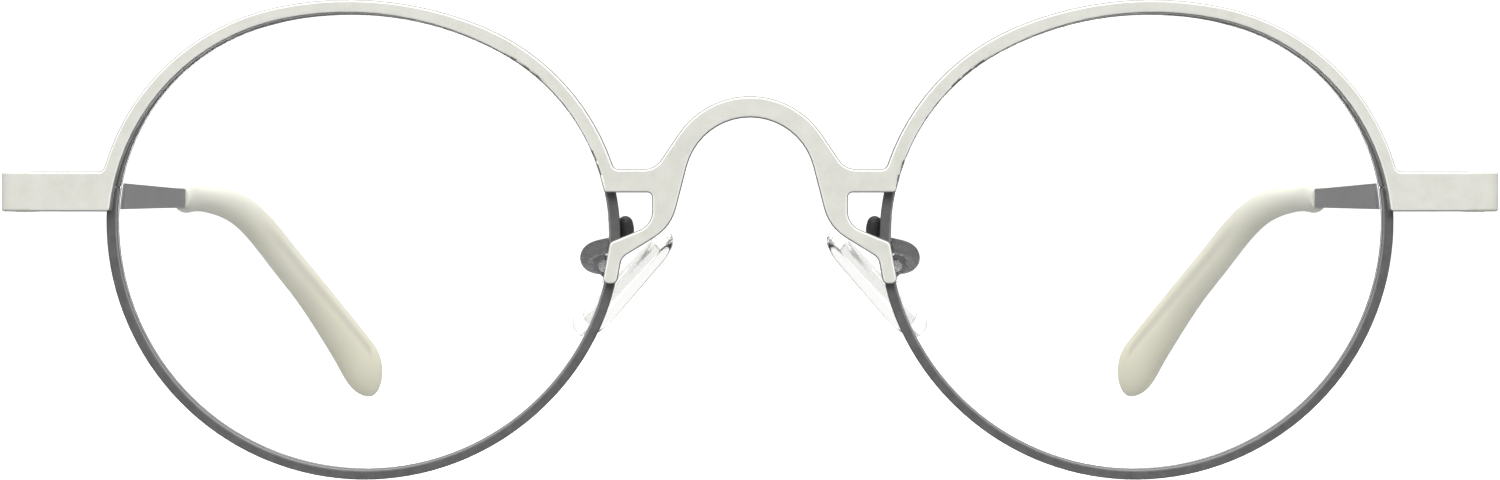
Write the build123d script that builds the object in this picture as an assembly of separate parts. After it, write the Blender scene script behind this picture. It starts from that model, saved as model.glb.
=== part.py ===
"""Round eyeglasses: a cut sheet front over two grooved wire rims, with folding temples.

Right and left are the wearer's. The wearer looks along -Y, so right is -X. Every sub-part is drawn
for the right side and mirrored. While drawing, X = 0 is the bridge's middle, Y = 0 the sheet's front
face and Z = 0 the eye line. At the end everything moves so that the origin is the middle of the base.
"""

import os
from math import asin, atan2, cos, degrees, hypot, radians, sin, tan

from build123d import *

# ---- overall sizes, mm
HALF_WIDTH = 69.2
SHEET = 0.9
EYE_LINE_TEMPLE_Z = 2.8

# ---- rim: a four-arc oval, (centre x, centre z, radius) of the opening's edge
RIM_TEMPORAL = (-39.79, 0.07, 18.72)
RIM_NASAL = (-32.33, -1.3, 19.3)
RIM_TOP_RADIUS = 29.0
RIM_BOTTOM_RADIUS = 22.87
RIM_WIDTH = 1.0
RIM_DEPTH = 1.6
RIM_BACK_Y = SHEET + RIM_DEPTH
RIM_REACH_Y = 6.0
RIM_CHAMFER = 0.28
RIM_EDGE = 0.14
RIM_FRONT_EDGE = 0.07
GROOVE_Y = 1.75
GROOVE_HALF = 0.38
GROOVE_DEPTH = 0.4
SPLIT_Z = 3.2
SPLIT_GAP = 0.15

# ---- lens
LENS_RADIUS = 265.0
LENS_APEX_Y = 0.3
LENS_THICK = 1.4
LENS_CLEAR = 0.03
LENS_CENTRE_X = -35.7
RIDGE_ROOT = 1.2

# ---- front sheet: brow arcs, (centre x, centre z, radius)
BROW_IN_NASAL = (-32.14, -1.11, 19.08)
BROW_IN_TEMPORAL = (-39.1, -0.92, 20.02)
BROW_IN_TOP_RADIUS = 29.4
BROW_OUT_NASAL = (-32.71, -1.51, 21.15)
BROW_OUT_TEMPORAL = (-39.3, -0.8, 21.07)
BROW_OUT_TOP_RADIUS = 32.2
TAB_BOTTOM = 0.97
TAB_TOP = 4.65
TAB_JOIN_X = -59.4
TAB_BEND_END_X = -66.2
BAR_BOTTOM = 2.72
BAR_TOP = 4.88
BEND_OUTER_RADIUS = 1.15
TAB_END_Y = 6.5
EDGE_ROUND = 0.25
HOLLOW_CORNER = 0.6
END_CORNER = 0.3

# ---- closing block behind the tab
LOCK_LOW_X, LOCK_HIGH_X = -64.0, -58.6
LOCK_DEPTH = 2.0
LOCK_TOP = 4.45
LOCK_SCREW_RADIUS = 0.5
LOCK_HEAD_RADIUS = 0.9
LOCK_HEAD = 0.5
LOCK_SCREW_TOP = 4.15
LOCK_CLEAR = 0.02
LOCK_EDGE = 0.3
SLOT_WIDTH = 0.25
SLOT_DEPTH = 0.15

# ---- bridge: arcs about (0, z), and the slope of the straight side that follows each
ARCH_OUT = (3.63, 7.98, 56.0)
ARCH_IN = (3.62, 6.03, 75.7)

# ---- hinge
PIVOT_X, PIVOT_Y = -67.1, 6.55
BARREL_RADIUS = 1.0
PIN_RADIUS = 0.5
PIN_CLEAR = 0.04
HINGE_BOTTOM = 1.05
HINGE_TOP = 4.25
KNUCKLE_LOW_TOP = 2.0
KNUCKLE_HIGH_BOTTOM = 3.4
KNUCKLE_GAP = 0.06
LEAF_THICK = 0.7
TAB_WALL_X = -HALF_WIDTH + SHEET
WEB_START_Y = 4.0
WEB_END_X = PIVOT_X + 0.4
FRONT_LEAF_Y = (2.2, 5.2)
TEMPLE_LEAF_Y = (1.3, 4.2)
BLADE_CLEAR = 0.12
PIN_HEAD_RADIUS = 0.85
PIN_HEAD = 0.35
PIN_HEAD_ROUND = 0.1
WEB_OVERLAP = 0.2
TEMPLE_WEB_END = 2.4

# ---- temple
BLADE_THICK = 1.0
BLADE_START_Y = 6.6
# the blade's outline: depth, reach above and below its middle
BLADE_FRONT = (BLADE_START_Y, 1.85, 1.85)
BLADE_MIDDLE = (48.0, 1.28, 1.42)
BLADE_BACK = (76.5, 0.98, 1.12)
BLADE_END_Y = 84.5
BLADE_X = -HALF_WIDTH + BLADE_THICK / 2
PLAN_SLOPE_1 = 2.6
PLAN_SLOPE_2 = 17.2
PLAN_BEND_Y = 82.5
PLAN_BEND_RADIUS = 50.0
DROP_SLOPE = 29.4
DROP_BEND_Y = 94.2
DROP_BEND_RADIUS = 29.0
# ranges across and in height that hold the whole temple
TEMPLE_X = (-90, -10)
TEMPLE_Z = (-40, 20)
CORE_END_Y = 127.0
CORE_HEIGHT = 0.8
# sleeve sections: depth, reach above the core, reach below it, thickness
SLEEVE_STATIONS = [
    (74.6, 1.2, 1.3, 2.0),
    (75.6, 1.45, 1.6, 2.3),
    (80.0, 1.55, 1.6, 2.35),
    (86.0, 1.55, 1.8, 2.45),
    (92.0, 1.5, 2.4, 2.6),
    (98.7, 1.42, 3.1, 2.85),
    (105.0, 1.4, 3.4, 3.0),
    (111.6, 1.4, 3.6, 3.2),
    (119.0, 1.42, 4.5, 3.4),
    (124.9, 1.45, 5.6, 3.5),
    (128.0, 1.45, 6.2, 3.4),
    (131.0, 1.25, 5.7, 2.9),
    (132.6, 0.4, 4.9, 2.2),
    (133.4, -1.6, 3.8, 1.0),
]

# ---- nose pad and its arm
ARM_RADIUS = 0.72
PAD_CENTRE = (-12.05, 8.6, -5.7)
PAD_TILT = 42.0
PAD_SPLAY = 16.0
PAD_LENGTH = 13.0
PAD_WIDTH = 7.0
PAD_THICK = 2.1
BOX_OFFSET = 2.8
BOX_ALONG = 1.7
BOX_WIDE = 2.2
BOX_DEEP = 2.2
LUG_THICK = 0.9
PAD_PIN_RADIUS = 0.35
PAD_HEAD_RADIUS = 0.55
PAD_HEAD = 0.35
PAD_NARROWING = 0.78
BOX_WALL = 0.3
LUG_PLAY = 0.1
LUG_RADIUS = 0.75
NECK_WIDTH = 1.3
STEM_SIZE = (2.6, 1.9)
STEM_GAP = 0.25
INSERT_THICK = 0.6
INSERT_MARGIN = 1.6
PAD_EDGE = 0.92
STEM_ROUND = 0.4
BOX_ROUND = 0.2
# arm: places its wire passes, from the rim to the pad's box
ARM_ROUTE = [
    (-11.6, 2.9, -0.15),
    (-11.75, 3.25, -1.55),
    (-13.3, 4.1, -2.2),
    (-14.95, 5.3, -2.75),
    (-15.2, 6.9, -3.75),
    (-14.0, 7.9, -4.25),
]


ON_BASE = (Align.CENTER, Align.CENTER, Align.MIN)


# ---------------------------------------------------------------- outlines in the front view
def enclosing_centre(small_a, small_b, radius, above):
    """Centre of the circle that two smaller ones touch from inside."""
    (ax, az, ra), (bx, bz, rb) = small_a, small_b
    reach_a, reach_b = radius - ra, radius - rb
    gap = hypot(bx - ax, bz - az)
    along = (reach_a**2 - reach_b**2 + gap**2) / (2 * gap)
    side = (reach_a**2 - along**2) ** 0.5
    ux, uz = (bx - ax) / gap, (bz - az) / gap
    turn = 1 if above else -1
    return ax + along * ux - turn * side * uz, az + along * uz + turn * side * ux


def direction(start, end):
    """Angle from one point to another, 0 to 360 degrees."""
    return degrees(atan2(end[1] - start[1], end[0] - start[0])) % 360


def rim_arcs(grow=0.0):
    """The rim's four arcs as (centre, radius, start, sweep), counter-clockwise from the nasal side."""
    top = enclosing_centre(RIM_TEMPORAL, RIM_NASAL, RIM_TOP_RADIUS, above=False)
    bottom = enclosing_centre(RIM_TEMPORAL, RIM_NASAL, RIM_BOTTOM_RADIUS, above=True)
    nasal_top = direction(top, RIM_NASAL)
    top_temporal = direction(top, RIM_TEMPORAL)
    temporal_bottom = direction(bottom, RIM_TEMPORAL)
    bottom_nasal = direction(bottom, RIM_NASAL)
    corners = [bottom_nasal - 360, nasal_top, top_temporal, temporal_bottom, bottom_nasal]
    centres = [RIM_NASAL[:2], top, RIM_TEMPORAL[:2], bottom]
    sizes = [RIM_NASAL[2], RIM_TOP_RADIUS, RIM_TEMPORAL[2], RIM_BOTTOM_RADIUS]
    arcs = []
    for centre, radius, start, end in zip(centres, sizes, corners, corners[1:]):
        arcs.append((centre, radius + grow, start, end - start))
    return arcs


def upright_box(low, high):
    """A box from its lowest to its highest corner."""
    size = [b - a for a, b in zip(low, high)]
    middle = [(a + b) / 2 for a, b in zip(low, high)]
    return Pos(*middle) * Box(*size)


def front_face(edges):
    """A face in the front view, X across and Z up, from edges drawn in x and y."""
    return Plane.XZ * make_face(edges)


def along_y(face, start, end):
    """A face of the front view made solid from one depth to another."""
    return Pos(0, start, 0) * extrude(face, amount=end - start, dir=(0, 1, 0))


def rim_face(grow):
    return front_face([CenterArc(c, r, start, sweep) for c, r, start, sweep in rim_arcs(grow)])


def brow_face(nasal, temporal, top_radius, nasal_end, temporal_end):
    """The area under one brow arc, closed by straight lines at its two ends."""
    top = enclosing_centre(temporal, nasal, top_radius, above=False)
    nasal_start = degrees(asin((nasal_end - nasal[1]) / nasal[2]))
    temporal_stop = 180 - degrees(asin((temporal_end - temporal[1]) / temporal[2]))
    nasal_top = direction(top, nasal)
    top_temporal = direction(top, temporal)
    edges = [
        CenterArc(nasal[:2], nasal[2], nasal_start, nasal_top - nasal_start),
        CenterArc(top, top_radius, nasal_top, top_temporal - nasal_top),
        CenterArc(temporal[:2], temporal[2], top_temporal, temporal_stop - top_temporal),
    ]
    start, end = edges[0] @ 0, edges[-1] @ 1
    middle_x = (nasal[0] + temporal[0]) / 2
    closing = Polyline(end, (middle_x, temporal_end), (middle_x, nasal_end), start)
    return front_face(edges + [closing])


# ---------------------------------------------------------------- front sheet
def bridge_half():
    """Half the bridge with the nasal bar, the small opening and the foot that lies on the rim."""
    outer_z, outer_radius, outer_turn = ARCH_OUT
    inner_z, inner_radius, inner_turn = ARCH_IN
    outer_arc = CenterArc((0, outer_z), outer_radius, 90, outer_turn)
    inner_arc = CenterArc((0, inner_z), inner_radius, 90, inner_turn)
    shoulder = FilletPolyline(outer_arc @ 1, (-8.78, BAR_TOP), (-13.2, BAR_TOP), radius=[1.9])
    bar_end = Line((-13.2, BAR_TOP), (-13.2, BAR_BOTTOM))
    foot = FilletPolyline(
        (-13.2, BAR_BOTTOM),
        (-9.03, BAR_BOTTOM),
        (-9.03, -0.25),
        (-12.95, -1.88),
        (-13.66, -5.72),
        (-12.29, -5.72),
        (-11.87, -3.33),
        (-7.29, -0.5),
        inner_arc @ 1,
        radius=[0.46, 1.86, 0.6, 0.55, 0.55, 1.2, 4.5],
    )
    middle = Line(inner_arc @ 0, outer_arc @ 0)
    return front_face([outer_arc, shoulder, bar_end, foot, inner_arc, middle])


def tab_face():
    edges = Polyline(
        (TAB_BEND_END_X, TAB_BOTTOM),
        (TAB_JOIN_X, TAB_BOTTOM),
        (TAB_JOIN_X, TAB_TOP),
        (TAB_BEND_END_X, TAB_TOP),
        close=True,
    )
    return front_face(edges)


def tab_return():
    """The tab's outer end, bent back round a vertical line towards the temple."""
    inner_x = -HALF_WIDTH + SHEET
    plan = [
        FilletPolyline(
            (TAB_BEND_END_X, 0),
            (-HALF_WIDTH, 0),
            (-HALF_WIDTH, TAB_END_Y),
            radius=BEND_OUTER_RADIUS,
        ),
        Line((-HALF_WIDTH, TAB_END_Y), (inner_x, TAB_END_Y)),
        FilletPolyline(
            (inner_x, TAB_END_Y),
            (inner_x, SHEET),
            (TAB_BEND_END_X, SHEET),
            radius=BEND_OUTER_RADIUS - SHEET,
        ),
        Line((TAB_BEND_END_X, SHEET), (TAB_BEND_END_X, 0)),
    ]
    return Pos(0, 0, TAB_BOTTOM) * extrude(make_face(plan), amount=TAB_TOP - TAB_BOTTOM)


def corners_at(solid, z, low_x, high_x):
    """Edges through the sheet that stand at one height, between two places across."""
    picked = []
    for edge in solid.edges().filter_by(Axis.Y):
        spot = edge.center()
        if abs(spot.Z - z) < 0.05 and low_x < spot.X < high_x:
            picked.append(edge)
    return picked


def front_plate():
    band = brow_face(BROW_OUT_NASAL, BROW_OUT_TEMPORAL, BROW_OUT_TOP_RADIUS, BAR_BOTTOM, TAB_BOTTOM)
    band -= brow_face(
        BROW_IN_NASAL, BROW_IN_TEMPORAL, BROW_IN_TOP_RADIUS, BAR_BOTTOM - 1, TAB_BOTTOM - 1
    )
    flat = along_y(band + tab_face() + bridge_half(), 0, SHEET)
    hollow_corners = corners_at(flat, TAB_TOP, -60.5, -57) + corners_at(flat, BAR_TOP, -13.1, -11.5)
    flat = fillet(hollow_corners, HOLLOW_CORNER)
    end_corners = corners_at(flat, TAB_BOTTOM, -60, -57) + corners_at(flat, BAR_BOTTOM, -14.5, -13.3)
    flat = fillet(end_corners, END_CORNER)
    half = flat + tab_return()
    sheet = half + mirror(half, about=Plane.YZ)
    face = sheet.faces().sort_by(Axis.Y)[0]
    return fillet(face.edges(), EDGE_ROUND)


# ---------------------------------------------------------------- rim, lens and closing block
def swept_rim(section):
    """A closed section, given as (outward, depth) points, carried round the four arcs of the rim."""
    ring = None
    for (cx, cz), radius, start, sweep in rim_arcs():
        turn = radians(start)
        outward = (cos(turn), 0, sin(turn))
        place = Plane(origin=(cx, 0, cz), x_dir=outward, z_dir=(-sin(turn), 0, cos(turn)))
        face = place * make_face(Polyline(*[(radius + r, y) for r, y in section], close=True))
        sector = revolve(face, axis=Axis((cx, 0, cz), (0, -1, 0)), revolution_arc=sweep)
        ring = sector if ring is None else ring + sector
    return ring


def rim():
    section = [
        (RIM_CHAMFER, SHEET),
        (RIM_WIDTH - RIM_FRONT_EDGE, SHEET),
        (RIM_WIDTH, SHEET + RIM_FRONT_EDGE),
        (RIM_WIDTH, RIM_BACK_Y - RIM_EDGE),
        (RIM_WIDTH - RIM_EDGE, RIM_BACK_Y),
        (RIM_EDGE, RIM_BACK_Y),
        (0, RIM_BACK_Y - RIM_EDGE),
        (0, GROOVE_Y + GROOVE_HALF),
        (GROOVE_DEPTH, GROOVE_Y),
        (0, GROOVE_Y - GROOVE_HALF),
        (0, SHEET + RIM_CHAMFER),
    ]
    rim_x = RIM_TEMPORAL[0] - RIM_TEMPORAL[2]
    split = Pos(rim_x, GROOVE_Y, SPLIT_Z) * Box(5 * RIM_WIDTH, 2 * RIM_DEPTH, SPLIT_GAP)
    return swept_rim(section) - split


def lens():
    """A mild meniscus whose edge carries the ridge that sits in the rim's groove."""
    sphere_place = Pos(LENS_CENTRE_X, LENS_APEX_Y + LENS_RADIUS, 0)
    blank = along_y(rim_face(-LENS_CLEAR), 0, RIM_REACH_Y)
    outer = sphere_place * Sphere(LENS_RADIUS)
    inner = sphere_place * Sphere(LENS_RADIUS - LENS_THICK)
    ridge = [
        (-RIDGE_ROOT, GROOVE_Y - GROOVE_HALF),
        (-LENS_CLEAR, GROOVE_Y - GROOVE_HALF),
        (GROOVE_DEPTH - 2 * LENS_CLEAR, GROOVE_Y),
        (-LENS_CLEAR, GROOVE_Y + GROOVE_HALF),
        (-RIDGE_ROOT, GROOVE_Y + GROOVE_HALF),
    ]
    return (blank & outer) - inner + swept_rim(ridge)


def behind_sheet(low_x, high_x, bottom, top, depth):
    """A box that lies on the back of the front sheet."""
    return upright_box((low_x, SHEET, bottom), (high_x, SHEET + depth, top))


def lock_block(bottom, top):
    """One half of the closing block, brazed to a rim end and to the sheet's back."""
    block = behind_sheet(LOCK_LOW_X, LOCK_HIGH_X, bottom, top, LOCK_DEPTH)
    block = fillet(block.edges().filter_by(Axis.Z), LOCK_EDGE)
    return block - along_y(rim_face(RIM_WIDTH), 0, RIM_REACH_Y)


def lock_screw_place(z):
    return Pos((LOCK_LOW_X + LOCK_HIGH_X) / 2, SHEET + LOCK_DEPTH / 2, z)


def lock_screw_shape(grow):
    """Countersunk screw, head downwards, grown by a clearance where it is cut from a block."""
    low, high = TAB_BOTTOM - grow, LOCK_SCREW_TOP
    shank = Cylinder(LOCK_SCREW_RADIUS + grow, high - low, align=ON_BASE)
    head = Cone(LOCK_HEAD_RADIUS + grow, LOCK_SCREW_RADIUS + grow, LOCK_HEAD, align=ON_BASE)
    return lock_screw_place(low) * (shank + head)


def rim_lock_upper():
    return lock_block(SPLIT_Z + SPLIT_GAP / 2, LOCK_TOP) - lock_screw_shape(0)


def rim_lock_lower():
    return lock_block(TAB_BOTTOM, SPLIT_Z - SPLIT_GAP / 2) - lock_screw_shape(LOCK_CLEAR)


def driver_slot(radius, depth):
    """A driver slot across a screw's end."""
    return Box(2 * radius + 1, SLOT_WIDTH, 2 * depth)


def rim_screw():
    slot = lock_screw_place(TAB_BOTTOM) * driver_slot(LOCK_HEAD_RADIUS, SLOT_DEPTH)
    return lock_screw_shape(0) - slot


# ---------------------------------------------------------------- hinge
def hinge_pin(radius, bottom, top):
    """A disc or pin about the hinge's axis."""
    return Pos(PIVOT_X, PIVOT_Y, bottom) * Cylinder(radius, top - bottom, align=ON_BASE)


def front_knuckle(bottom, top):
    """One of the two front eyes, with the web that ties it to the tab."""
    web = upright_box((TAB_WALL_X, WEB_START_Y, bottom), (WEB_END_X, PIVOT_Y - WEB_OVERLAP, top))
    return hinge_pin(BARREL_RADIUS, bottom, top) + web


def hinge_front():
    """Two eyes on a leaf, fixed to the inside of the bent tab."""
    leaf = upright_box(
        (TAB_WALL_X, FRONT_LEAF_Y[0], HINGE_BOTTOM),
        (TAB_WALL_X + LEAF_THICK, FRONT_LEAF_Y[1], HINGE_TOP),
    )
    body = leaf + front_knuckle(HINGE_BOTTOM, KNUCKLE_LOW_TOP)
    body += front_knuckle(KNUCKLE_HIGH_BOTTOM, HINGE_TOP)
    # The eyes stay clear of the temple's inner face.
    blade_space = upright_box(
        (-HALF_WIDTH, TAB_END_Y, 0),
        (TAB_WALL_X + BLADE_CLEAR, PIVOT_Y + 2 * BARREL_RADIUS, 2 * HINGE_TOP),
    )
    return body - blade_space - hinge_pin(PIN_RADIUS, 0, 2 * HINGE_TOP)


def hinge_temple():
    """The single eye between the other two, on a leaf fixed to the temple's inner face."""
    wall = -HALF_WIDTH + BLADE_THICK
    low, high = KNUCKLE_LOW_TOP + KNUCKLE_GAP, KNUCKLE_HIGH_BOTTOM - KNUCKLE_GAP
    web = upright_box(
        (wall, PIVOT_Y + WEB_OVERLAP, low), (WEB_END_X, PIVOT_Y + TEMPLE_WEB_END, high)
    )
    leaf = upright_box(
        (wall, PIVOT_Y + TEMPLE_LEAF_Y[0], low - LEAF_THICK),
        (wall + LEAF_THICK, PIVOT_Y + TEMPLE_LEAF_Y[1], high + LEAF_THICK),
    )
    body = hinge_pin(BARREL_RADIUS, low, high) + web + leaf
    return body - temple() - hinge_pin(PIN_RADIUS + PIN_CLEAR, 0, 2 * HINGE_TOP)


def hinge_screw():
    shank = hinge_pin(PIN_RADIUS, HINGE_BOTTOM, HINGE_TOP)
    head = hinge_pin(PIN_HEAD_RADIUS, HINGE_TOP, HINGE_TOP + PIN_HEAD)
    head = fillet(head.edges().group_by(Axis.Z)[-1], PIN_HEAD_ROUND)
    slot_place = Pos(PIVOT_X, PIVOT_Y, HINGE_TOP + PIN_HEAD)
    return shank + head - slot_place * driver_slot(PIN_HEAD_RADIUS, SLOT_DEPTH)


# ---------------------------------------------------------------- temple and sleeve
def shifted(points, radius, offset):
    """A bent line of three straight points moved sideways, with its bend's new radius."""
    (ay, az), (by, bz), (cy, cz) = points
    first = atan2(bz - az, by - ay)
    second = atan2(cz - bz, cy - by)
    half_turn = (second - first) / 2
    middle = (first + second) / 2
    reach = offset / cos(half_turn)
    moved = [
        (ay - offset * sin(first), az + offset * cos(first)),
        (by - reach * sin(middle), bz + reach * cos(middle)),
        (cy - offset * sin(second), cz + offset * cos(second)),
    ]
    turn_sign = 1 if half_turn > 0 else -1
    return moved, radius - turn_sign * offset


def plan_line(end_y):
    """The temple seen from above, as (Y, X) points: nearly straight, then bent towards the head."""
    bend_x = BLADE_X + (PLAN_BEND_Y - BLADE_START_Y) * tan(radians(PLAN_SLOPE_1))
    end_x = bend_x + (end_y - PLAN_BEND_Y) * tan(radians(PLAN_SLOPE_2))
    return [(BLADE_START_Y, BLADE_X), (PLAN_BEND_Y, bend_x), (end_y, end_x)]


def side_line(end_y):
    """The temple seen from the side, as (Y, Z) points: level, then dropping behind the ear."""
    end_z = EYE_LINE_TEMPLE_Z - (end_y - DROP_BEND_Y) * tan(radians(DROP_SLOPE))
    return [(BLADE_START_Y, EYE_LINE_TEMPLE_Z), (DROP_BEND_Y, EYE_LINE_TEMPLE_Z), (end_y, end_z)]


def bent_strip(points, radius, width):
    """A strip of constant width along a line with one bend."""
    left, left_radius = shifted(points, radius, width / 2)
    right, right_radius = shifted(points, radius, -width / 2)
    edges = [
        FilletPolyline(*left, radius=left_radius),
        Line(left[-1], right[-1]),
        FilletPolyline(*reversed(right), radius=right_radius),
        Line(right[0], left[0]),
    ]
    return make_face(edges)


def blade_outline():
    """The blade from the side: it tapers backwards and ends in the thinner core."""
    mid = EYE_LINE_TEMPLE_Z
    stations = [BLADE_FRONT, BLADE_MIDDLE, BLADE_BACK, (BLADE_END_Y, CORE_HEIGHT / 2, CORE_HEIGHT / 2)]
    upper = [(y, mid + above) for y, above, _ in stations]
    lower = [(y, mid - below) for y, _, below in stations]
    return make_face(Polyline(*upper, *reversed(lower), close=True))


def temple():
    """The blade and its core wire: a side outline cut through a strip bent in plan."""
    plan = bent_strip(plan_line(CORE_END_Y), PLAN_BEND_RADIUS, BLADE_THICK)
    core = bent_strip(side_line(CORE_END_Y), DROP_BEND_RADIUS, CORE_HEIGHT)
    from_side = Plane(origin=(0, 0, 0), x_dir=(0, 1, 0), z_dir=(1, 0, 0))
    side_view = Pos(TEMPLE_X[0], 0, 0) * extrude(
        from_side * (blade_outline() + core), amount=TEMPLE_X[1] - TEMPLE_X[0]
    )
    from_below = Plane(origin=(0, 0, TEMPLE_Z[0]), x_dir=(0, 1, 0), z_dir=(0, 0, -1))
    plan_view = extrude(from_below * plan, amount=TEMPLE_Z[1] - TEMPLE_Z[0], dir=(0, 0, 1))
    return side_view & plan_view


def bent_line_at(points, radius, y):
    """Where a line of one bend is at a depth, and the angle at which it runs there."""
    (ay, av), (by, bv), (cy, cv) = points
    first, second = atan2(bv - av, by - ay), atan2(cv - bv, cy - by)
    reach = radius * tan(abs(second - first) / 2)
    start, stop = by - reach * cos(first), by + reach * cos(second)
    if y <= start:
        return av + (y - ay) * tan(first), first
    if y >= stop:
        return bv + (y - by) * tan(second), second
    sign = 1 if second > first else -1
    centre_y = start - sign * radius * sin(first)
    centre_v = av + (start - ay) * tan(first) + sign * radius * cos(first)
    angle = asin(sign * (y - centre_y) / radius)
    return centre_v - sign * radius * cos(angle), angle


def centre_at(y):
    """The temple's centre line and its direction, at one depth."""
    x, across = bent_line_at(plan_line(CORE_END_Y), PLAN_BEND_RADIUS, y)
    z, down = bent_line_at(side_line(CORE_END_Y), DROP_BEND_RADIUS, y)
    forward = Vector(tan(across), 1, tan(down)).normalized()
    return Vector(x, y, z), forward


def sleeve_section(y, above, below, thick):
    """An oval across the sleeve, reaching above and below the core wire by different amounts."""
    centre, forward = centre_at(y)
    side = Vector(0, 0, 1).cross(forward).normalized()
    upward = forward.cross(side).normalized()
    middle = centre + upward * ((above - below) / 2)
    place = Plane(origin=middle, x_dir=side * -1, z_dir=forward)
    return place * Ellipse(thick / 2, (above + below) / 2)


def temple_tip():
    sections = [sleeve_section(*station) for station in SLEEVE_STATIONS]
    return loft(sections) - temple()


# ---------------------------------------------------------------- nose pad, its arm, box and screw
def pad_axes():
    """The pad's long axis, its width axis and its face's outward normal."""
    tilt, splay = radians(PAD_TILT), radians(PAD_SPLAY)
    long_axis = Vector(sin(tilt), 0, cos(tilt))
    flat_normal = Vector(cos(tilt), 0, -sin(tilt))
    wide_axis = Vector(0, 1, 0) * cos(splay) - flat_normal * sin(splay)
    normal = flat_normal * cos(splay) + Vector(0, 1, 0) * sin(splay)
    return long_axis, wide_axis, normal


def pad_plane(lift):
    """The plane of the pad, moved along its normal, with x along its length."""
    long_axis, _, normal = pad_axes()
    return Plane(origin=Vector(*PAD_CENTRE) + normal * lift, x_dir=long_axis, z_dir=normal)


def screw_plane():
    """The pad screw's place: z runs back along the screw, y towards the pad."""
    long_axis, wide_axis, normal = pad_axes()
    pivot = Vector(*PAD_CENTRE) - normal * BOX_OFFSET
    return Plane(origin=pivot, x_dir=long_axis, z_dir=wide_axis)


def pad_blank(lift, thick, shrink):
    """A drop-shaped disc, broader at its lower end."""
    half, wide = PAD_LENGTH / 2 - shrink, PAD_WIDTH / 2 - shrink
    narrow_radius = wide * PAD_NARROWING
    broad_x, narrow_x = -half + wide, half - narrow_radius
    lean = degrees(asin((wide - narrow_radius) / (narrow_x - broad_x)))
    broad = CenterArc((broad_x, 0), wide, 90 - lean, 180 + 2 * lean)
    narrow = CenterArc((narrow_x, 0), narrow_radius, lean - 90, 180 - 2 * lean)
    outline = make_face([broad, Line(broad @ 1, narrow @ 0), narrow, Line(narrow @ 1, broad @ 0)])
    return extrude(pad_plane(lift) * outline, amount=thick)


def nose_pad():
    blank = pad_blank(-PAD_THICK / 2, PAD_THICK, 0)
    blank = fillet(blank.edges(), PAD_EDGE)
    return blank - pad_insert()


def pad_insert():
    """A hard plate inside the pad with a stem and the lug that the screw passes through."""
    plate = pad_blank(-INSERT_THICK / 2, INSERT_THICK, INSERT_MARGIN)
    stem_height = BOX_OFFSET - BOX_DEEP / 2 - STEM_GAP
    stem = extrude(pad_plane(-stem_height) * RectangleRounded(*STEM_SIZE, STEM_ROUND), amount=stem_height)
    lug = screw_plane() * Cylinder(LUG_RADIUS, LUG_THICK)
    neck = extrude(pad_plane(-BOX_OFFSET) * Rectangle(NECK_WIDTH, LUG_THICK), amount=BOX_OFFSET)
    pin = screw_plane() * Cylinder(PAD_PIN_RADIUS + PIN_CLEAR, 2 * BOX_WIDE)
    return plate + stem + lug + neck - pin


def pad_box_block():
    block = screw_plane() * Box(BOX_ALONG, BOX_DEEP, BOX_WIDE)
    return fillet(block.edges(), BOX_ROUND)


def pad_box():
    """The housing: two cheeks and a back wall, open towards the pad."""
    slot = screw_plane() * Pos(0, BOX_WALL, 0) * Box(2 * BOX_ALONG, BOX_DEEP, LUG_THICK + LUG_PLAY)
    return pad_box_block() - slot - screw_plane() * Cylinder(PAD_PIN_RADIUS, 2 * BOX_WIDE)


def pad_screw():
    shank = Cylinder(PAD_PIN_RADIUS, BOX_WIDE)
    head = Pos(0, 0, -BOX_WIDE / 2 - PAD_HEAD / 2) * Cylinder(PAD_HEAD_RADIUS, PAD_HEAD)
    slot = Pos(0, 0, -BOX_WIDE / 2 - PAD_HEAD) * driver_slot(PAD_HEAD_RADIUS, SLOT_DEPTH)
    return screw_plane() * (shank + head - slot)


def pad_arm():
    """A round wire from the rim's nasal side, looping behind the lens to the pad's box."""
    route = Spline(*ARM_ROUTE)
    start = route @ 0
    section = Plane(origin=start, z_dir=route % 0) * Circle(ARM_RADIUS)
    wire = sweep(section, path=route) + Pos(start) * Sphere(ARM_RADIUS)
    rim_space = along_y(rim_face(RIM_WIDTH), 0, RIM_BACK_Y)
    return wire - rim_space - pad_box_block()


# ---------------------------------------------------------------- the assembly
PARTS = {
    "rim": rim,
    "lens": lens,
    "rim_lock_upper": rim_lock_upper,
    "rim_lock_lower": rim_lock_lower,
    "rim_screw": rim_screw,
    "hinge_front": hinge_front,
    "hinge_temple": hinge_temple,
    "hinge_screw": hinge_screw,
    "temple": temple,
    "temple_tip": temple_tip,
    "pad_arm": pad_arm,
    "pad_box": pad_box,
    "pad_screw": pad_screw,
    "nose_pad": nose_pad,
    "pad_insert": pad_insert,
}


def assembly():
    """Every node by name, moved so that the origin is the middle of the base."""
    nodes = {"front_plate": front_plate()}
    for name, make in PARTS.items():
        piece = make()
        nodes["right_" + name] = piece
        nodes["left_" + name] = mirror(piece, about=Plane.YZ)
    box = Compound(children=[Compound(s.solids()) for s in nodes.values()]).bounding_box()
    to_base = Pos(0, -(box.min.Y + box.max.Y) / 2, -box.min.Z)
    return {name: to_base * piece for name, piece in nodes.items()}, to_base


def main():
    os.makedirs("parts", exist_ok=True)
    nodes, to_base = assembly()
    for name, piece in nodes.items():
        export_step(piece, f"parts/{name}.step")
    print("moved by", to_base.position)


main()
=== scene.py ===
"""Round eyeglasses with an ivory sheet front over grey wire rims, on a plain pale floor."""

import math

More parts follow.
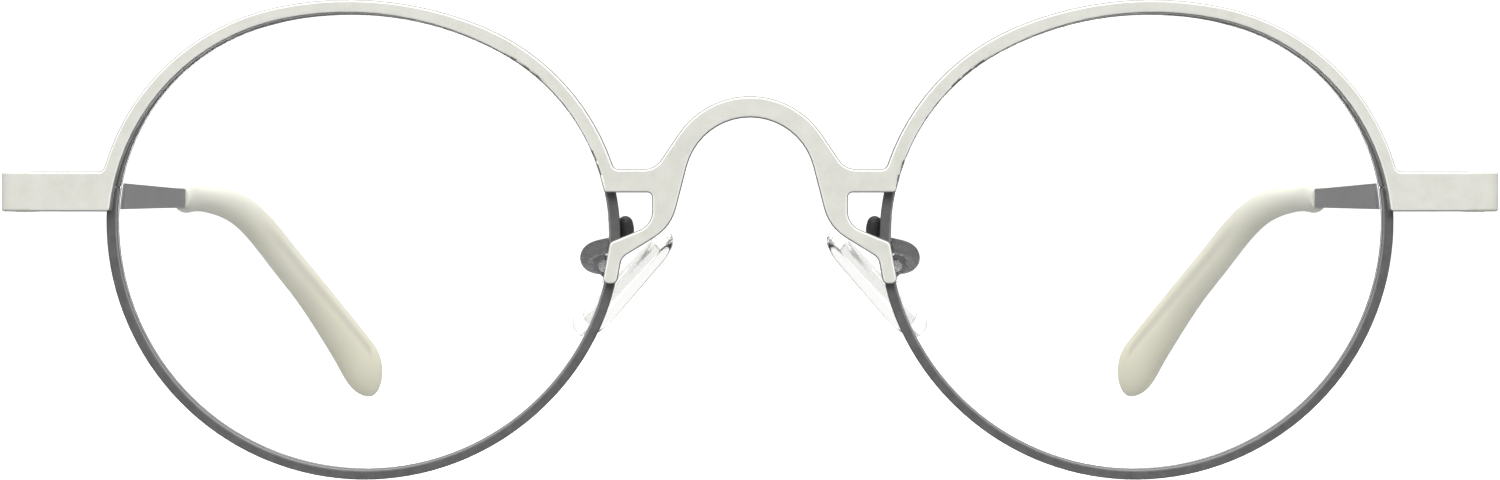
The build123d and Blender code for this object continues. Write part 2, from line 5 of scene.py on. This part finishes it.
import bpy
import bmesh
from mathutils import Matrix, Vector


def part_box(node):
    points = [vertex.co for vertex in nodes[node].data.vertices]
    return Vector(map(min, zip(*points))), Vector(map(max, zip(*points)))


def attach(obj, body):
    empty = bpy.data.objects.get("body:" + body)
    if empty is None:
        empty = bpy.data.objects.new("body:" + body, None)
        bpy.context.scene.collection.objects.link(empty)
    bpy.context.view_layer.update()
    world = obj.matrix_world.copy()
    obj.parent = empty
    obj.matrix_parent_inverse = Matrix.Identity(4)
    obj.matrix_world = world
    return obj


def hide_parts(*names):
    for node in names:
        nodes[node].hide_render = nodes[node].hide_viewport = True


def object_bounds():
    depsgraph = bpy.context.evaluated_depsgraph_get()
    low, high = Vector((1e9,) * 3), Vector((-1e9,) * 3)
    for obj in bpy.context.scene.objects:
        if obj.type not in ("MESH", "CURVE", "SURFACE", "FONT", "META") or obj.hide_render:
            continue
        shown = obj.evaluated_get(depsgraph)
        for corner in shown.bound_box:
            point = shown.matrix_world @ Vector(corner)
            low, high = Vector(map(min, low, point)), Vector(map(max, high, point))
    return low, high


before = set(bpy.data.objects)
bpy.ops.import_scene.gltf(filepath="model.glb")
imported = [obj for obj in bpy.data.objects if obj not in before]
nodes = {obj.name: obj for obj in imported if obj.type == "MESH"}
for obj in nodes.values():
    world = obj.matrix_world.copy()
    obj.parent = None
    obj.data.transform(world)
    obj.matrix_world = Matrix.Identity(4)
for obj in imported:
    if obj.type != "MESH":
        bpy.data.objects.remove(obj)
cad_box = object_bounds()

MM = 0.001
SIDES = ("right", "left")


# ------------------------------------------------------------------ materials
def new_material(name):
    material = bpy.data.materials.new(name)
    material.use_nodes = True
    return material, material.node_tree, material.node_tree.nodes["Principled BSDF"]


def add(tree, kind, **settings):
    node = tree.nodes.new(kind)
    for key, value in settings.items():
        setattr(node, key, value)
    return node


def coordinates(tree):
    return add(tree, "ShaderNodeTexCoord").outputs["Object"]


def noise(tree, grain, detail=3.0, roughness=0.55):
    """Noise whose grain is a real size in metres."""
    node = add(tree, "ShaderNodeTexNoise")
    node.inputs["Scale"].default_value = 1.0 / grain
    node.inputs["Detail"].default_value = detail
    node.inputs["Roughness"].default_value = roughness
    tree.links.new(coordinates(tree), node.inputs["Vector"])
    return node.outputs["Fac"]


def remap(tree, value, low, high, start=0.3, end=0.7):
    node = add(tree, "ShaderNodeMapRange")
    node.inputs["From Min"].default_value = start
    node.inputs["From Max"].default_value = end
    node.inputs["To Min"].default_value = low
    node.inputs["To Max"].default_value = high
    tree.links.new(value, node.inputs["Value"])
    return node.outputs["Result"]


def mixed(tree, factor, a, b, blend="MIX"):
    """A colour mix; a and b are colours or sockets, factor a number or a socket."""
    node = add(tree, "ShaderNodeMix", data_type="RGBA", blend_type=blend)
    for socket, value in ((node.inputs[0], factor), (node.inputs[6], a), (node.inputs[7], b)):
        if isinstance(value, bpy.types.NodeSocket):
            tree.links.new(value, socket)
        elif isinstance(value, tuple):
            socket.default_value = (*value, 1.0)
        else:
            socket.default_value = value
    return node.outputs[2]


def bump(tree, shader, height, distance, strength=1.0):
    node = add(tree, "ShaderNodeBump")
    node.inputs["Strength"].default_value = strength
    node.inputs["Distance"].default_value = distance
    tree.links.new(height, node.inputs["Height"])
    tree.links.new(node.outputs["Normal"], shader.inputs["Normal"])


def painted(name, dark, light, roughness, grain, relief, metal=0.0, specular=0.5):
    """Sprayed paint or plating: mottled colour, uneven gloss and a fine orange-peel relief."""
    material, tree, shader = new_material(name)
    cloud = noise(tree, grain * 6, 4.0)
    speckle = noise(tree, grain, 2.0, 0.6)
    colour = mixed(tree, remap(tree, cloud, 0.0, 1.0), dark, light)
    colour = mixed(tree, remap(tree, speckle, 0.0, 0.5), colour, light)
    tree.links.new(colour, shader.inputs["Base Color"])
    low, high = roughness
    tree.links.new(remap(tree, speckle, low, high), shader.inputs["Roughness"])
    bump(tree, shader, speckle, relief)
    shader.inputs["Metallic"].default_value = metal
    shader.inputs["Specular IOR Level"].default_value = specular
    return material


temple_grey = painted(
    "temple_grey", (0.162, 0.162, 0.164), (0.215, 0.215, 0.217), (0.42, 0.55), 0.16 * MM, 0.004 * MM,
    specular=0.3,
)
arm_grey = painted(
    "arm_grey", (0.05, 0.05, 0.052), (0.065, 0.065, 0.067), (0.24, 0.3), 0.4 * MM, 0.0004 * MM, specular=0.16
)
hinge_grey = painted(
    "hinge_grey", (0.12, 0.12, 0.124), (0.19, 0.19, 0.195), (0.3, 0.45), 0.15 * MM, 0.004 * MM, metal=0.5
)


def turned_steel():
    """Bright screw steel with fine turning marks."""
    material, tree, shader = new_material("turned_steel")
    marks = noise(tree, 0.05 * MM, 2.0)
    tree.links.new(
        mixed(tree, remap(tree, marks, 0.0, 1.0), (0.55, 0.55, 0.56), (0.78, 0.78, 0.79)),
        shader.inputs["Base Color"],
    )
    tree.links.new(remap(tree, marks, 0.16, 0.34), shader.inputs["Roughness"])
    shader.inputs["Metallic"].default_value = 1.0
    bump(tree, shader, marks, 0.004 * MM)
    return material


def clear(name, tint, ior, grain, relief, roughness=0.0):
    """Clear glass or silicone with a faint unevenness in its surface."""
    material, tree, shader = new_material(name)
    waves = noise(tree, grain, 1.0)
    tree.links.new(
        mixed(tree, remap(tree, waves, 0.0, 1.0), tint, tuple(min(1.0, c * 1.01) for c in tint)),
        shader.inputs["Base Color"],
    )
    shader.inputs["Transmission Weight"].default_value = 1.0
    shader.inputs["IOR"].default_value = ior
    shader.inputs["Roughness"].default_value = roughness
    bump(tree, shader, waves, relief)
    return material


lens_clear = clear("lens_clear", (0.985, 0.99, 0.99), 1.5, 9 * MM, 0.001 * MM)
silicone = clear("pad_silicone", (0.8, 0.8, 0.785), 1.14, 1.5 * MM, 0.01 * MM, 0.12)
insert_clear = clear("pad_insert", (0.86, 0.86, 0.85), 1.14, 1.0 * MM, 0.01 * MM, 0.1)


def math_node(tree, operation, *values):
    """A maths node; each value is a number or a socket."""
    node = add(tree, "ShaderNodeMath", operation=operation)
    for socket, value in zip(node.inputs, values):
        if isinstance(value, bpy.types.NodeSocket):
            tree.links.new(value, socket)
        else:
            socket.default_value = value
    return node.outputs[0]


def along_axis(tree, axis, offset):
    """Distance in metres along a direction of the row frame, from a plane at an offset."""
    dot = add(tree, "ShaderNodeVectorMath", operation="DOT_PRODUCT")
    tree.links.new(coordinates(tree), dot.inputs[0])
    dot.inputs[1].default_value = axis
    return math_node(tree, "SUBTRACT", dot.outputs["Value"], offset)


def band_between(tree, value, start, end, soft):
    """1 between two distances, falling to 0 over a soft width outside them."""
    rising = remap(tree, value, 0.0, 1.0, start - soft, start)
    falling = remap(tree, value, 1.0, 0.0, end, end + soft)
    return math_node(tree, "MULTIPLY", rising, falling)


def milky_sleeve():
    """Milky plastic: cloudy, darker where the core wire shows, warmer where it is thick."""
    material, tree, shader = new_material("milky_sleeve")
    slope = math.radians(CORE_SLOPE)
    core_point = Vector((0, temple_high.y, temple_low.z)) + CORE_END
    up = Vector((0, math.sin(slope), math.cos(slope)))
    seen_at = core_point - up * CORE_SEEN_LOWER
    aside = math_node(tree, "ABSOLUTE", along_axis(tree, up, seen_at.dot(up)))
    band = remap(tree, aside, 1.0, 0.0, *CORE_BAND)
    y = along_axis(tree, (0, 1, 0), 0.0)
    fade_in = remap(tree, y, 0.0, 1.0, sleeve_end - 38 * MM, sleeve_end - 30 * MM)
    fade_out = remap(tree, y, 1.0, 0.0, core_point.y - 1.0 * MM, core_point.y + 0.6 * MM)
    core = math_node(tree, "MULTIPLY", math_node(tree, "MULTIPLY", band, fade_in), fade_out)
    depth = remap(tree, y, 0.0, 1.0, sleeve_end - SLEEVE_WARMS_OVER, sleeve_end)
    cloud = noise(tree, 2.2 * MM, 4.0)
    speckle = noise(tree, 0.25 * MM, 2.0)
    colour = mixed(tree, depth, SLEEVE_THIN, SLEEVE_THICK)
    colour = mixed(tree, remap(tree, cloud, 0.0, 0.12), colour, SLEEVE_CLOUD)
    colour = mixed(tree, math_node(tree, "MULTIPLY", core, CORE_SHARE), colour, SLEEVE_CORE)
    tree.links.new(colour, shader.inputs["Base Color"])
    tree.links.new(remap(tree, speckle, 0.34, 0.46), shader.inputs["Roughness"])
    shader.inputs["IOR"].default_value = 1.45
    shader.inputs["Subsurface Weight"].default_value = 0.5
    shader.inputs["Subsurface Radius"].default_value = (1.0, 0.95, 0.75)
    shader.inputs["Subsurface Scale"].default_value = 1.0 * MM
    bump(tree, shader, speckle, 0.003 * MM)
    return material


def ivory_lacquer():
    """Ivory lacquer with a painted highlight along the rounded front edge and painted shade down the cut
    edge.
    """
    material = painted(
        "ivory_lacquer", (0.7, 0.7, 0.635), (0.79, 0.79, 0.725), (0.4, 0.52), 0.26 * MM, 0.004 * MM,
        specular=0.35,
    )
    tree = material.node_tree
    shader = tree.nodes["Principled BSDF"]
    colour = shader.inputs["Base Color"].links[0].from_socket
    depth = along_axis(tree, (0, 1, 0), plate_low.y)
    aside = math_node(tree, "ABSOLUTE", along_axis(tree, (1, 0, 0), 0.0))
    bend_starts = plate_high.x - BEND_REACH
    flat_part = remap(tree, aside, 1.0, 0.0, bend_starts, bend_starts + BEND_FADE)
    # painted highlight on the rounded front edge of the sheet, and painted shade down its cut edge, both
    # kept off the bent ends
    painted_highlight = math_node(tree, "MULTIPLY", band_between(tree, depth, *EDGE_HIGHLIGHT_DEPTH), flat_part)
    painted_shade = math_node(tree, "MULTIPLY", band_between(tree, depth, *EDGE_SHADE_DEPTH), flat_part)
    # mix in the painted edge highlight, then the painted edge shade
    colour = mixed(tree, painted_highlight, colour, EDGE_HIGHLIGHT)
    colour = mixed(tree, math_node(tree, "MULTIPLY", painted_shade, EDGE_SHADE_SHARE), colour, EDGE_SHADE)
    tree.links.new(colour, shader.inputs["Base Color"])
    return material


def rim_metal():
    """Gunmetal plating with a painted highlight along the small front bevels and painted shade on the sides
    and back behind them.
    """
    material = painted(
        "gunmetal", (0.095, 0.095, 0.097), (0.145, 0.145, 0.148), (0.42, 0.56), 0.16 * MM, 0.004 * MM,
        specular=0.22,
    )
    tree = material.node_tree
    shader = tree.nodes["Principled BSDF"]
    colour = shader.inputs["Base Color"].links[0].from_socket
    depth = along_axis(tree, (0, 1, 0), rim_low.y)
    # painted highlight along the small front bevels
    bevel_highlight = band_between(tree, depth, *BEVEL_HIGHLIGHT_DEPTH)
    # painted shade on the rim's sides and back
    side_shade = remap(tree, depth, 0.0, REAR_SHADE, *REAR_DEPTH)
    colour = mixed(tree, bevel_highlight, colour, RIM_HIGHLIGHT)
    colour = mixed(tree, side_shade, colour, RIM_SHADE)
    tree.links.new(colour, shader.inputs["Base Color"])
    return material


# depths behind the front of the sheet or rim: start, end and soft width of each band of painted highlight
# and painted shade
EDGE_HIGHLIGHT_DEPTH = (0.004 * MM, 0.06 * MM, 0.004 * MM)
EDGE_SHADE_DEPTH = (0.08 * MM, 0.8 * MM, 0.03 * MM)
BEVEL_HIGHLIGHT_DEPTH = (0.12 * MM, 0.2 * MM, 0.04 * MM)
# painted shade on the rim's sides and back between these two depths, by this share
REAR_DEPTH = (0.3 * MM, 0.36 * MM)
REAR_SHADE = 0.6
# the sheet's bent ends have no painted edge highlight or shade: how far in from the sides they reach, and
# the fade
BEND_REACH = 3.0 * MM
BEND_FADE = 0.3 * MM
# share of the painted shade colour on the cut edge
EDGE_SHADE_SHARE = 0.85
# colours of the painted highlight and painted shade on the sheet's edges
EDGE_HIGHLIGHT = (0.97, 0.97, 0.93)
EDGE_SHADE = (0.1, 0.1, 0.09)
# colours of the painted bevel highlight and the painted shade on the rim's sides and back
RIM_HIGHLIGHT = (0.26, 0.26, 0.265)
RIM_SHADE = (0.03, 0.03, 0.031)
plate_low, plate_high = (Vector(corner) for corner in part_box("front_plate"))
rim_low = Vector(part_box("right_rim")[0])
ivory = ivory_lacquer()
gunmetal = rim_metal()
steel = turned_steel()
# the core wire's slope behind the ear in degrees, its end's middle from its box's corner,
# and how far below its true place it shows through the plastic
CORE_SLOPE = 29.4
CORE_END = Vector((0, -0.2, 0.35)) * MM
CORE_SEEN_LOWER = 1.3 * MM
# the stripe's solid half width and where it has faded out, and its share of the colour
CORE_BAND = (0.2 * MM, 1.0 * MM)
CORE_SHARE = 0.45
SLEEVE_WARMS_OVER = 45 * MM
SLEEVE_THIN = (0.95, 0.94, 0.8)
SLEEVE_THICK = (0.99, 0.93, 0.69)
SLEEVE_CLOUD = (0.88, 0.87, 0.74)
SLEEVE_CORE = (0.5, 0.5, 0.42)
sleeve_end = Vector(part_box("right_temple_tip")[1]).y
temple_low, temple_high = (Vector(corner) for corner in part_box("right_temple"))
sleeve_material = milky_sleeve()

FINISH = {
    "rim": gunmetal,
    "lens": lens_clear,
    "rim_lock_upper": gunmetal,
    "rim_lock_lower": gunmetal,
    "rim_screw": steel,
    "hinge_front": hinge_grey,
    "hinge_temple": hinge_grey,
    "hinge_screw": steel,
    "temple": temple_grey,
    "temple_tip": sleeve_material,
    "pad_arm": arm_grey,
    "pad_box": arm_grey,
    "pad_screw": steel,
    "nose_pad": silicone,
    "pad_insert": insert_clear,
}


def paint(obj, material):
    obj.data.materials.clear()
    obj.data.materials.append(material)


paint(nodes["front_plate"], ivory)
for side in SIDES:
    for kind, material in FINISH.items():
        paint(nodes[f"{side}_{kind}"], material)

# ------------------------------------------------------------------ nose pads
PAD_TILT = math.radians(42)
PAD_SPLAY = math.radians(16)
PAD_LENGTH, PAD_WIDTH, PAD_THICK = 13.0 * MM, 7.0 * MM, 2.1 * MM
PAD_NARROWING = 0.78
PAD_EDGE = 0.9 * MM
PAD_RINGS = 12
ARC_POINTS = 72


def drop_outline(shrink):
    """The pad's outline as (along, across) points: a broad lower arc and a narrower upper one."""
    half, wide = PAD_LENGTH / 2 - shrink, PAD_WIDTH / 2 - shrink
    narrow = wide * PAD_NARROWING
    broad_at, narrow_at = -half + wide, half - narrow
    lean = math.asin((wide - narrow) / (narrow_at - broad_at))
    points = []
    for step in range(ARC_POINTS):
        angle = lean - math.pi / 2 + (math.pi - 2 * lean) * step / (ARC_POINTS - 1)
        points.append((narrow_at + narrow * math.cos(angle), narrow * math.sin(angle)))
    for step in range(ARC_POINTS):
        angle = math.pi / 2 - lean + (math.pi + 2 * lean) * step / (ARC_POINTS - 1)
        points.append((broad_at + wide * math.cos(angle), wide * math.sin(angle)))
    return points


def pad_rings():
    """Outlines stacked through the pad's thickness with a rounded edge: (height, shrink)."""
    flat = PAD_THICK / 2 - PAD_EDGE
    rings = []
    for step in range(PAD_RINGS + 1):
        turn = math.pi * step / PAD_RINGS - math.pi / 2
        lift = PAD_EDGE * math.sin(turn) + math.copysign(flat, turn)
        rings.append((lift, PAD_EDGE * (1 - math.cos(turn))))
    return rings


def soft_pad(side):
    """The clear soft body of one nose pad, in the place of the CAD's."""
    sign = -1 if side == "right" else 1
    long_axis = Vector((-sign * math.sin(PAD_TILT), 0, math.cos(PAD_TILT)))
    flat_normal = Vector((-sign * math.cos(PAD_TILT), 0, -math.sin(PAD_TILT)))
    wide_axis = Vector((0, 1, 0)) * math.cos(PAD_SPLAY) - flat_normal * math.sin(PAD_SPLAY)
    normal = flat_normal * math.cos(PAD_SPLAY) + Vector((0, 1, 0)) * math.sin(PAD_SPLAY)
    shape = bmesh.new()
    loops = []
    for lift, shrink in pad_rings():
        loops.append(
            [
                shape.verts.new(long_axis * along + wide_axis * across + normal * lift)
                for along, across in drop_outline(shrink)
            ]
        )
    for lower, upper in zip(loops, loops[1:]):
        for index in range(len(lower)):
            after = (index + 1) % len(lower)
            shape.faces.new((lower[index], lower[after], upper[after], upper[index]))
    shape.faces.new(loops[0])
    shape.faces.new(loops[-1])
    bmesh.ops.remove_doubles(shape, verts=shape.verts, dist=0.002 * MM)
    bmesh.ops.recalc_face_normals(shape, faces=shape.faces)
    for face in shape.faces:
        is_cap = len(face.verts) > 4
        face.smooth = not is_cap
    mesh = bpy.data.meshes.new(f"{side}_soft_pad")
    shape.to_mesh(mesh)
    shape.free()
    corners = [vertex.co for vertex in mesh.vertices]
    own_middle = Vector([(min(c[i] for c in corners) + max(c[i] for c in corners)) / 2 for i in range(3)])
    pad_low, pad_high = (Vector(corner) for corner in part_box(f"{side}_nose_pad"))
    for vertex in mesh.vertices:
        vertex.co += (pad_low + pad_high) / 2 - own_middle
    obj = bpy.data.objects.new(f"{side}_soft_pad", mesh)
    bpy.context.scene.collection.objects.link(obj)
    paint(obj, silicone)
    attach(obj, f"nose_pad_{side}")
    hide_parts(f"{side}_nose_pad")


for side in SIDES:
    soft_pad(side)

# ------------------------------------------------------------------ stage
low, high = (Vector(corner) for corner in cad_box)
centre = (low + high) / 2


def stage_mesh(name, make, material):
    mesh = bpy.data.meshes.new(name)
    shape = bmesh.new()
    make(shape)
    shape.to_mesh(mesh)
    shape.free()
    obj = bpy.data.objects.new(name, mesh)
    bpy.context.scene.collection.objects.link(obj)
    mesh.materials.append(material)
    return obj


def pale_paper():
    material, tree, shader = new_material("pale_paper")
    grain = noise(tree, 40 * MM, 3.0)
    tree.links.new(
        mixed(tree, remap(tree, grain, 0.0, 1.0), (0.93, 0.93, 0.93), (0.95, 0.95, 0.95)),
        shader.inputs["Base Color"],
    )
    shader.inputs["Roughness"].default_value = 0.9
    shader.inputs["Specular IOR Level"].default_value = 0.1
    shader.inputs["Emission Color"].default_value = (1.0, 1.0, 1.0, 1.0)
    shader.inputs["Emission Strength"].default_value = PAPER_GLOW
    return material


def paper_bowl(shape):
    """A flat floor that curves up all round into a plain wall."""
    profile = [(0.0, 0.0), (FLOOR_RADIUS, 0.0)]
    for step in range(1, CURVE_STEPS + 1):
        turn = math.radians(90 * step / CURVE_STEPS)
        profile.append((FLOOR_RADIUS + CURVE * math.sin(turn), CURVE * (1 - math.cos(turn))))
    profile.append((FLOOR_RADIUS + CURVE, WALL_HEIGHT))
    verts = [shape.verts.new((x, 0, z)) for x, z in profile]
    edges = [shape.edges.new(pair) for pair in zip(verts, verts[1:])]
    bmesh.ops.spin(
        shape,
        geom=verts + edges,
        cent=(0, 0, 0),
        axis=(0, 0, 1),
        angle=2 * math.pi,
        steps=ROUND_STEPS,
        use_merge=True,
    )
    for face in shape.faces:
        face.smooth = True


FLOOR_RADIUS = 1.6
CURVE = 0.8
WALL_HEIGHT = 3.0
CURVE_STEPS = 12
ROUND_STEPS = 96
PAPER_GLOW = 0.75
paper = stage_mesh("paper", paper_bowl, pale_paper())
paper.location.z = low.z - 0.2 * MM

# The lamps light the object from the front and above. The paper is only seen, directly or through
# clear parts: it throws no light on the undersides and edges.
paper.visible_diffuse = False
paper.visible_glossy = False

world = bpy.data.worlds.new("studio")
bpy.context.scene.world = world
world.use_nodes = True
background = world.node_tree.nodes["Background"]
background.inputs["Color"].default_value = (1, 1, 1, 1)
background.inputs["Strength"].default_value = 0.4


def area_lamp(name, place, target, size, watts):
    light = bpy.data.lights.new(name, "AREA")
    light.shape = "RECTANGLE"
    light.size, light.size_y = size
    light.energy = watts
    obj = bpy.data.objects.new(name, light)
    bpy.context.scene.collection.objects.link(obj)
    obj.location = place
    obj.rotation_euler = (Vector(target) - Vector(place)).to_track_quat("-Z", "Y").to_euler()
    return obj


area_lamp("softbox_top", (0.0, -0.15, 0.8), centre, (1.2, 0.7), 7.5)
area_lamp("softbox_front", (0.0, -0.85, 0.8), centre, (2.2, 0.5), 11.5)

# ------------------------------------------------------------------ camera
VIEW_DISTANCE = 0.295
HALF_VIEW = 69.12 * MM
EYE_ABOVE_RIM = 23.83 * MM
camera_data = bpy.data.cameras.new("camera")
camera_data.sensor_width = 36.0
camera_data.lens = camera_data.sensor_width * VIEW_DISTANCE / (2 * HALF_VIEW)
camera_data.shift_y = -18 / 1500
camera_data.clip_start = 0.01
camera_data.clip_end = 50.0
camera = bpy.data.objects.new("camera", camera_data)
bpy.context.scene.collection.objects.link(camera)
camera.location = (0.0, plate_low.y - VIEW_DISTANCE, rim_low.z + EYE_ABOVE_RIM)
camera.rotation_euler = (math.radians(90), 0, 0)
bpy.context.scene.camera = camera

view = bpy.context.scene.view_settings
view.view_transform = "Standard"
